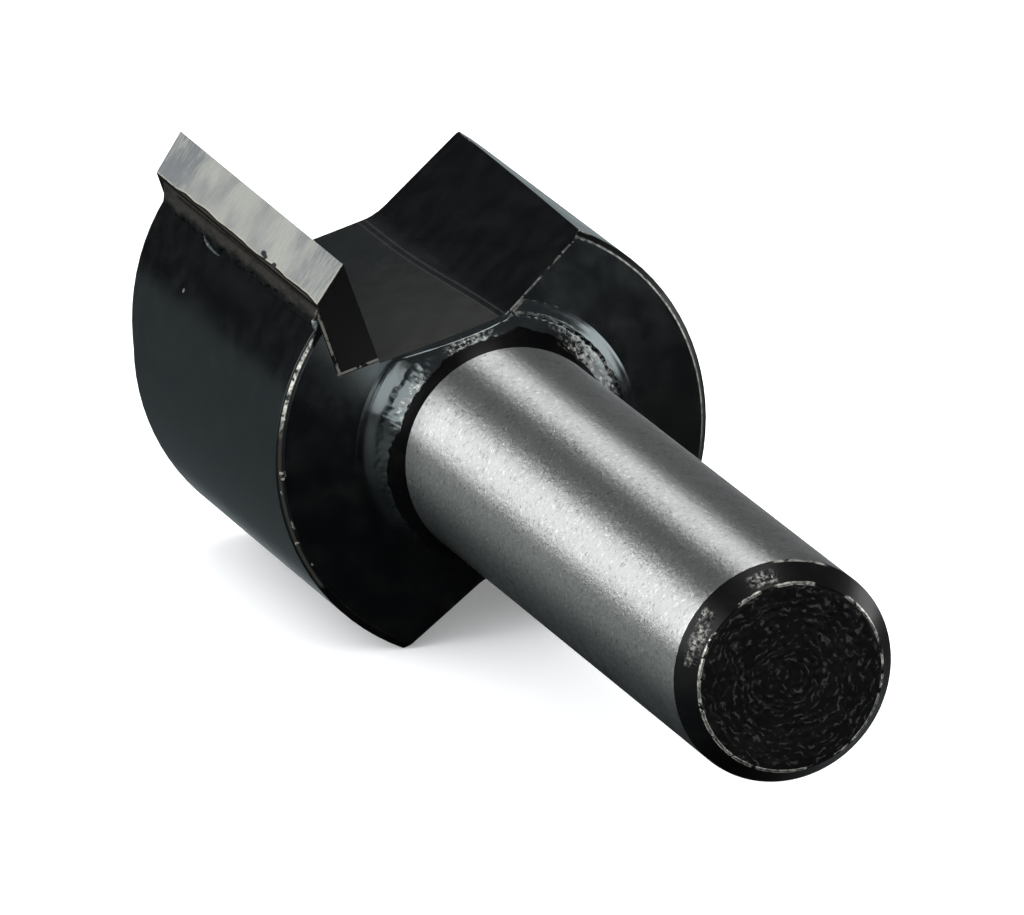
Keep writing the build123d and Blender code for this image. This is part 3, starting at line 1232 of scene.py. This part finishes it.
        # tilt of the section's normal from the centreline, by row and bearing
        reach = np.clip((centre[0] - limit) / bend, -1, 1)
        flat = np.where(limit < size.hub_radius, np.arcsin(reach), slope)
        share = np.linspace(0, 1, self.neck_rows)[:, None]
        tilt = steep + share * (flat - steep)
        past = np.maximum(limit - size.hub_radius, 0) * np.clip((share - 0.9) / 0.1, 0, 1)
        r = centre[0] - bend * np.sin(tilt) + past
        z = centre[1] - bend * np.cos(tilt) - past * np.tan(slope)
        bearings, *marks = np.array(self.ridge).T
        line, inside, outside, peak = (
            np.interp(np.degrees(angle), bearings, column, period=360) for column in marks
        )
        off = (r - line) / np.where(r > line, outside, inside)
        wander = uneven(round_points(angle, 1.0), *self.ridge_wander)
        off = off - wander / inside * np.clip(0.3 - 1.5 * off, 0, 1)
        ridge = peak * np.exp(-(off**2))
        streaks = uneven(round_points(angle, self.neck_round, 4 * r), *self.streaks)
        pits = uneven(round_points(angle, self.neck_round, r), *self.pits)
        pits = pits * np.clip(0.35 - off, 0, 1)
        fade = taper(share, 0, 1, self.neck_fade) ** 0.5
        height = (self.neck_lift + ridge + streaks + pits) * fade - self.neck_sink * (1 - fade)
        return self.sleeve("neck_turned_skin", (r, z, tilt), height, angle)

    def sleeve(
        self,
        name: str,
        section: tuple[np.ndarray, np.ndarray, np.ndarray],
        height: np.ndarray,
        angle: np.ndarray,
    ) -> bpy.types.Object:
        """Close a thin sleeve over a section of the neck.

        The outer wall stands height over the section along its normal, and the inner wall lies
        a constant depth under it on a few rows.

        Args:
            name: the piece's name.
            section: radius, distance along the centreline, and the normal's tilt from the
                centreline, each by row and bearing.
            height: how far the outer wall stands over the section.
            angle: bearings in the bit's axes.

        Returns:
            The sleeve.
        """
        r, z, tilt = section
        few = np.linspace(len(r) - 1, 0, self.inner_rows).astype(int)
        depth, under = self.neck_depth, tilt[few]
        radius = np.concatenate([r + height * np.sin(tilt), r[few] - depth * np.sin(under)])
        along = np.concatenate([z + height * np.cos(tilt), z[few] - depth * np.cos(under)])
        return closed_piece(name, self.axes.place(radius, angle, along))

    def relief_skin(self) -> bpy.types.Object:
        """The sooty relief groove beside the ground shank as a thin closed sleeve.

        Its section is the inner part of the neck's arc, from the neck out to a radius that
        changes with the bearing, with a slow ripple in its outer edge.  Its height is a lift that
        fades out at both edges.

        Returns:
            The sleeve.
        """
        centre, bend, steep = self.neck_arc()
        angle = whole_turn(self.neck_around)
        bearings, marks = np.array(self.relief_reach).T
        reach = np.interp(np.degrees(angle), bearings, marks, period=360)
        reach = reach + uneven(round_points(angle, 1.0), *self.relief_wander)
        reach = np.minimum(reach, self.neck_limit(angle) - self.relief_gap)
        share = np.linspace(0, 1, self.relief_rows)[:, None]
        tilt = steep + share * (np.arcsin((centre[0] - reach) / bend) - steep)
        r, z = centre[0] - bend * np.sin(tilt), centre[1] - bend * np.cos(tilt)
        fade = taper(share, 0, 1, self.relief_fade) ** 0.5
        height = (self.neck_lift + self.relief_lift) * fade - self.relief_sink * (1 - fade)
        return self.sleeve("neck_relief_skin", (r, z, tilt), height + 0 * r, angle)

    def chamfer_skin(self) -> bpy.types.Object:
        """The chamfer at the shank end as a thin closed ring, bruised where it was knocked.

        Its section is the chamfer's straight line, turned over the inner corner on to the end
        face.  Height over it is a lift plus fine noise inside each bruise, which fades out with
        the square of the distance from its middle.

        Returns:
            The ring.
        """
        size = self.sizes
        inside, onward = self.chamfer_start
        outer = np.array([size.shank_radius - inside, size.ground_to + onward])
        across = np.array([size.end_face_radius, size.shank_end]) - outer
        normal = np.array([across[1], -across[0]]) / np.hypot(*across)
        share = np.linspace(0, 1, self.chamfer_rows)[:, None]
        angle = whole_turn(3 * self.around)
        spot = round_points(angle, self.chamfer_round, self.chamfer_length * share)
        bruised = np.zeros(spot.shape[:-1])
        for middle, spread, place in self.bruises:
            away = (np.degrees(angle) - middle) / spread, (share - place) / self.bruise_reach
            bruised = np.maximum(bruised, np.clip(1 - away[0] ** 2 - away[1] ** 2, 0, 1))
        bruised = bruised * taper(share, 0, 1, self.chamfer_fade)
        bruised = bruised * uneven(spot, *self.bruise_rough)
        worn_in = uneven(spot[-1:], *self.chamfer_wear) * share**4
        height = self.chamfer_lift + self.bruise_height * bruised + worn_in
        r = outer[0] + share * across[0] + height * normal[0]
        z = outer[1] + share * across[1] + height * normal[1]
        turn = np.linspace(0, 1, 6)[1:, None]
        lip_r = r[-1:] - self.lip * turn
        lip_z = z[-1:] - self.lip_drop * turn**2 + self.lip_bulge * np.sin(pi * turn)
        radius = np.concatenate([r, lip_r, lip_r[-1:], r[:1] - self.lip])
        along = np.concatenate([z, lip_z, lip_z[-1:] - self.lip, z[:1] - self.chamfer_sink])
        return closed_piece("shank_chamfer_skin", self.axes.place(radius, angle, along))

    def end_skin(self) -> bpy.types.Object:
        """The rough sawn end as a thin closed disc with real relief.

        Height is a lift, plus turning rings, the cosine of radius over pitch with its phase
        bent by smooth noise, plus pits from finer noise, faded out towards the rim.

        Returns:
            The disc.
        """
        radius = np.linspace(self.end_cover / self.end_rings, self.end_cover, self.end_rings)
        radius = radius[:, None]
        angle = whole_turn(self.around)
        flat = round_points(angle, radius)
        fine = uneven(flat, *self.pit_noise)
        patches = np.clip(0.5 + uneven(flat, *self.patch_noise), 0, 1)
        bend = uneven(flat, *self.turning_bend) + self.pit_bend * fine
        rings = np.cos(2 * pi * radius / self.turning_pitch + bend)
        height = self.turning_height * rings * patches + self.pit_height * fine * (0.4 + patches)
        edge = np.clip((self.end_cover - radius) / self.end_fade, 0, 1)
        height = np.maximum(height * 0.5 + self.end_floor, 0) * edge + self.end_lift
        level = self.sizes.shank_end
        top = self.axes.place(radius, angle, level + height)
        rim = self.axes.place(radius[-1:], angle, level - self.end_depth)
        return closed_piece("shank_end_skin", np.concatenate([top, rim]), capped=True)

    def build(self, frame: dict) -> None:
        """Dress the body's node and add its five skins.
        """
        oxide = BlackOxideSteel(self.axes, self.sizes)
        black = oxide.build()
        dress_node(frame["nodes"]["bit_body"], black)
        ground = GroundSteel(self.axes).build()
        dull, sooty = (
            replace(
                oxide, name=name, index=index, turned_roughness=roughness, gloss_tint="#FFFFFF"
            ).build()
            for name, index, roughness in (
                ("black_oxide_dull_end", 1.28, 0.30),
                ("black_oxide_sooty_relief", 1.15, 0.32),
            )
        )
        for skin, finish in (
            (self.ground_skin, ground),
            (self.neck_skin, black),
            (self.relief_skin, sooty),
            (self.chamfer_skin, dull),
            (self.end_skin, dull),
        ):
            finish_piece(skin(), finish)


@dataclass
class CuttingWing:
    """One carbide tip with the solder that holds it and what ran out beside it."""

    letter: str
    turn: float
    seed: int
    threads: tuple[Rows, ...] = ()
    axes: BitAxes = BitAxes()
    head_radius: float = BitSizes.head_radius
    bead_top_angle: float = radians(91.35)
    bead_end_angle: float = radians(94.6)
    bead_foot_angle: float = radians(97.6)
    bead_wander: float = radians(0.35)
    bead_top_radius: float = 8.58
    bead_front: float = -16.1
    bead_back: float = -0.05
    bead_height: float = 0.045
    bead_fade: float = 0.3  # how far each end takes to rise
    bead_sink: float = 0.008  # how far its edges lie under the seam
    bead_depth: float = 0.09
    steps: int = 260
    across: int = 10
    thread_seed: int = 51

    def bead(self) -> bpy.types.Object:
        """Solder that ran out behind the tip, as a thin closed lumpy strip.

        Across the strip the angle about the centreline goes from the tip's heel to past the
        foot of the seam, and the radius follows the seam down to the round of the head.  Height
        over it is a half sine across, times one plus smooth noise.

        Returns:
            The strip.
        """
        z = np.linspace(self.bead_front, self.bead_back, self.steps)[:, None]
        share = np.linspace(0, 1, self.across)
        wander = uneven(z, (1.0, 2.1, self.seed), (0.6, 0.7, self.seed + 10))[:, None]
        last = self.bead_end_angle + self.bead_wander * wander
        angle = self.bead_top_angle + share * (last - self.bead_top_angle)
        fall = (angle - self.bead_top_angle) / (self.bead_foot_angle - self.bead_top_angle)
        head = self.head_radius
        base = head + (self.bead_top_radius - head) * np.clip(1 - fall, 0, 1)
        spot = np.stack(np.broadcast_arrays(z, 8 * angle), axis=-1)
        lumps = 1 + uneven(spot, (0.12, 1.8, self.seed + 20))
        ends = taper(z, self.bead_front, self.bead_back, self.bead_fade) ** 0.5
        height = self.bead_height * np.sin(pi * share) ** 0.7 * lumps * ends
        lower = base - self.bead_depth
        radius = np.concatenate([base + height - self.bead_sink, lower[:, ::-1]], axis=1)
        angle = np.concatenate([angle, angle[:, ::-1]], axis=1)
        rings = self.axes.place(radius, angle, z, self.turn)
        return closed_piece(f"braze_run_{self.letter}", rings, capped=True)

    def curl(self, name: str, marks: Rows) -> bpy.types.Object:
        """A thread of solder that froze beside the bead.

        A lumpy circle, thinner at both ends, is carried along a smooth line through the marks:
        cubics through bearing, radius and thickness against the share of the way along.

        Args:
            name: the piece's name.
            marks: places as distance along the centreline, bearing in degrees and radius, and
                the thread's half thickness there.

        Returns:
            The thread.
        """
        share = np.linspace(0, 1, 60)[:, None]
        knots = np.linspace(0, 1, len(marks))
        power = min(3, len(marks) - 1)
        z, bearing, level, thick = (
            np.polyval(np.polyfit(knots, column, power), share) for column in np.array(marks).T
        )
        thick = thick * (0.25 + np.sin(pi * share) ** 0.6)
        thick = thick * (1 + uneven(share, (0.2, 0.2, self.thread_seed))[:, None])
        circle = whole_turn(14)
        radius = level + thick * np.sin(circle)
        angle = np.radians(bearing) + thick * np.cos(circle) / level
        return closed_piece(name, self.axes.place(radius, angle, z, self.turn), capped=True)

    def build(
        self,
        frame: dict,
        carbide: bpy.types.Material,
        solder: bpy.types.Material,
        thin: bpy.types.Material,
    ) -> None:
        """Dress the tip and the seam, and add the bead and the threads.

        Args:
            carbide: the tips' finish.
            solder: the solder's finish.
            thin: the finish of the solder's threads.
        """
        dress_node(frame["nodes"][f"carbide_tip_{self.letter}"], carbide)
        dress_node(frame["nodes"][f"braze_seam_{self.letter}"], solder)
        finish_piece(self.bead(), solder)
        for number, marks in enumerate(self.threads, 1):
            name = f"braze_thread_{self.letter}_{number}"
            finish_piece(self.curl(name, marks), thin)


THREADS = (
    (
        (-12.7, 94.5, 8.24, 0.045),
        (-12.2, 95.6, 8.24, 0.045),
        (-11.5, 96.3, 8.24, 0.045),
        (-10.5, 96.4, 8.24, 0.045),
    ),
    (
        (-0.45, 94.3, 8.36, 0.07),
        (-0.05, 94.6, 8.31, 0.11),
        (0.12, 95.3, 8.18, 0.10),
        (0.20, 96.0, 8.06, 0.05),
    ),
)  # the first wing's: see CuttingWing.curl


# ---------------------------------------------------------------------------------------------
# Studio
# ---------------------------------------------------------------------------------------------


def posed(place: Vector, axes: tuple[Vector, Vector, Vector]) -> Matrix:
    """Where a lamp or a camera stands, and which ways its own x, y and z point."""
    return Matrix.Translation(place) @ Matrix(axes).transposed().to_4x4()


@dataclass(frozen=True)
class Softbox:
    """A long soft lamp beside the bit, parallel to its centreline.

    Its middle is given as an angle about the centreline, from +X up, a distance, and a place
    along +Y, in metres.
    """

    name: str
    angle: float
    spread: float  # angle that its width fills, seen from the bit
    distance: float
    along: Span
    radiance: float

    def build(self) -> None:
        """Add the lamp, which shows in reflections only."""
        width = 2 * self.distance * np.tan(radians(self.spread) / 2)
        length = self.along[1] - self.along[0]
        lamp = bpy.data.lights.new(self.name, "AREA")
        lamp.shape = "RECTANGLE"
        lamp.size, lamp.size_y = width, length
        lamp.energy = self.radiance * pi * width * length
        away = Vector((cos(radians(self.angle)), 0.0, sin(radians(self.angle))))
        along = Vector((0.0, 1.0, 0.0))
        middle = away * self.distance + along * (sum(self.along) / 2)
        holder = add_object(self.name, lamp)
        holder.matrix_world = posed(middle, (along.cross(away), along, away))
        holder.visible_camera = False
        holder.visible_diffuse = False


@dataclass
class Studio:
    """Pale floor, soft lamps, surroundings and camera."""

    floor_colour: str = "#F4F4F4"
    floor_half: float = 5.0
    floor_glow: float = 0.2
    floor_roughness: float = 0.9
    white: str = "#F6F8FA"
    white_strength: float = 2.2
    softboxes: tuple[Softbox, ...] = (
        Softbox("softbox_left", 152.4, 35.8, 0.60, (-1.3, 0.55), 2.9),
        Softbox("softbox_top", 88.0, 22.0, 0.75, (-0.12, 0.70), 3.0),
        Softbox("softbox_right", 9.0, 18.0, 0.60, (-1.0, 0.35), 2.6),
        Softbox("softbox_front", 170.0, 20.0, 0.33, (-1.6, -0.85), 2.8),
    )
    lens: float = 649.85
    sensor: float = 36.0
    clip: Span = (0.01, 20.0)
    eye: tuple[float, float, float] = (-0.2064453, -0.5958723, 0.2014733)
    right: tuple[float, float, float] = (0.94183911, -0.33452619, -0.03211419)
    down: tuple[float, float, float] = (-0.12693014, -0.26561958, -0.95568561)

    def build_floor(self) -> None:
        """Add the floor, a plain pale sheet lit faintly from behind and left out of reflections."""
        half = self.floor_half
        corners = [(-half, -half, 0), (half, -half, 0), (half, half, 0), (-half, half, 0)]
        mesh = bpy.data.meshes.new("studio_floor")
        mesh.from_pydata(corners, [], [(0, 1, 2, 3)])
        floor = add_object("studio_floor", mesh)
        material, _, shader = new_material("backlit_opal_acrylic")
        settings = {
            "Base Color": self.floor_colour,
            "Emission Color": self.floor_colour,
            "Emission Strength": self.floor_glow,
            "Roughness": self.floor_roughness,
            "Specular IOR Level": 0.0,
        }
        set_up(shader, settings)
        mesh.materials.append(material)
        floor.visible_glossy = False

    def build_world(self) -> None:
        """Surround the set: white for the floor's soft light, dark cards for reflections.

        The cards' colours go by the direction in which a reflection looks.
        """
        world = bpy.data.worlds.new("studio_surround")
        world.use_nodes = True
        tree = world.node_tree
        tree.nodes.clear()
        x, y, z = Place(add_node(tree, "ShaderNodeTexCoord").outputs["Generated"]).parts()
        behind = y.ramp(0.55, 0.9)
        upper = behind.colours("#505354", x.ramp(-0.1, 0.15).colours("#0B0C0C", "#383B3C"))
        left_table = z.ramp(-0.6, 0.0).colours("#4A5051", "#B2B8B6")
        low_front = z.ramp(-0.18, -0.32).colours("#141515", "#2C2C29")
        front_table = x.ramp(0.25, 0.5).colours("#0A0A0A", low_front)
        near = x.ramp(-0.35, -0.75).colours(front_table, left_table)
        far = x.ramp(0.08, 0.30).colours("#4F5657", "#A0A9AB")
        cards = z.ramp(-0.05, 0.03).colours(behind.colours(near, far), upper)
        dark = add_node(tree, "ShaderNodeBackground", {"Color": cards})
        settings = {"Color": self.white, "Strength": self.white_strength}
        white = add_node(tree, "ShaderNodeBackground", settings)
        glossy = add_node(tree, "ShaderNodeLightPath").outputs["Is Glossy Ray"]
        settings = {0: glossy, 1: white.outputs[0], 2: dark.outputs[0]}
        both = add_node(tree, "ShaderNodeMixShader", settings)
        add_node(tree, "ShaderNodeOutputWorld", {"Surface": both.outputs[0]})
        bpy.context.scene.world = world

    def build_camera(self) -> None:
        """Add the long-lens camera behind and above the shank end, a little to its left."""
        camera = bpy.data.cameras.new("camera")
        camera.lens = self.lens
        camera.sensor_width = self.sensor
        camera.sensor_fit = "HORIZONTAL"
        camera.clip_start, camera.clip_end = self.clip
        right, down = Vector(self.right), Vector(self.down)
        holder = add_object("camera", camera)
        holder.matrix_world = posed(Vector(self.eye), (right, -down, -right.cross(down)))
        bpy.context.scene.camera = holder

    def build(self) -> None:
        """Set up the whole studio."""
        bpy.context.scene.view_settings.view_transform = "Standard"
        self.build_camera()
        self.build_floor()
        self.build_world()
        for box in self.softboxes:
            box.build()
        log.info("studio: %d softboxes", len(self.softboxes))


def main() -> None:
    """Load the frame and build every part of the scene."""
    logging.basicConfig(level=logging.INFO, format="%(message)s")
    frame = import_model()
    Studio().build()
    SteelBody().build(frame)
    axes = BitAxes()
    carbide = GroundCarbide(axes).build()
    dulled = DulledSolder(axes)
    solder = dulled.build()
    thin = replace(
        dulled,
        name="silver_solder_frozen_thread",
        grey="#7B8485",
        dark="#3C4041",
        fade=(170.0, 180.0),
        sooted_back=0.0,
    ).build()
    for wing in (CuttingWing("a", 0.0, 21, THREADS), CuttingWing("b", pi, 22)):
        wing.build(frame, carbide, solder, thin)


if __name__ == "__main__":
    main()
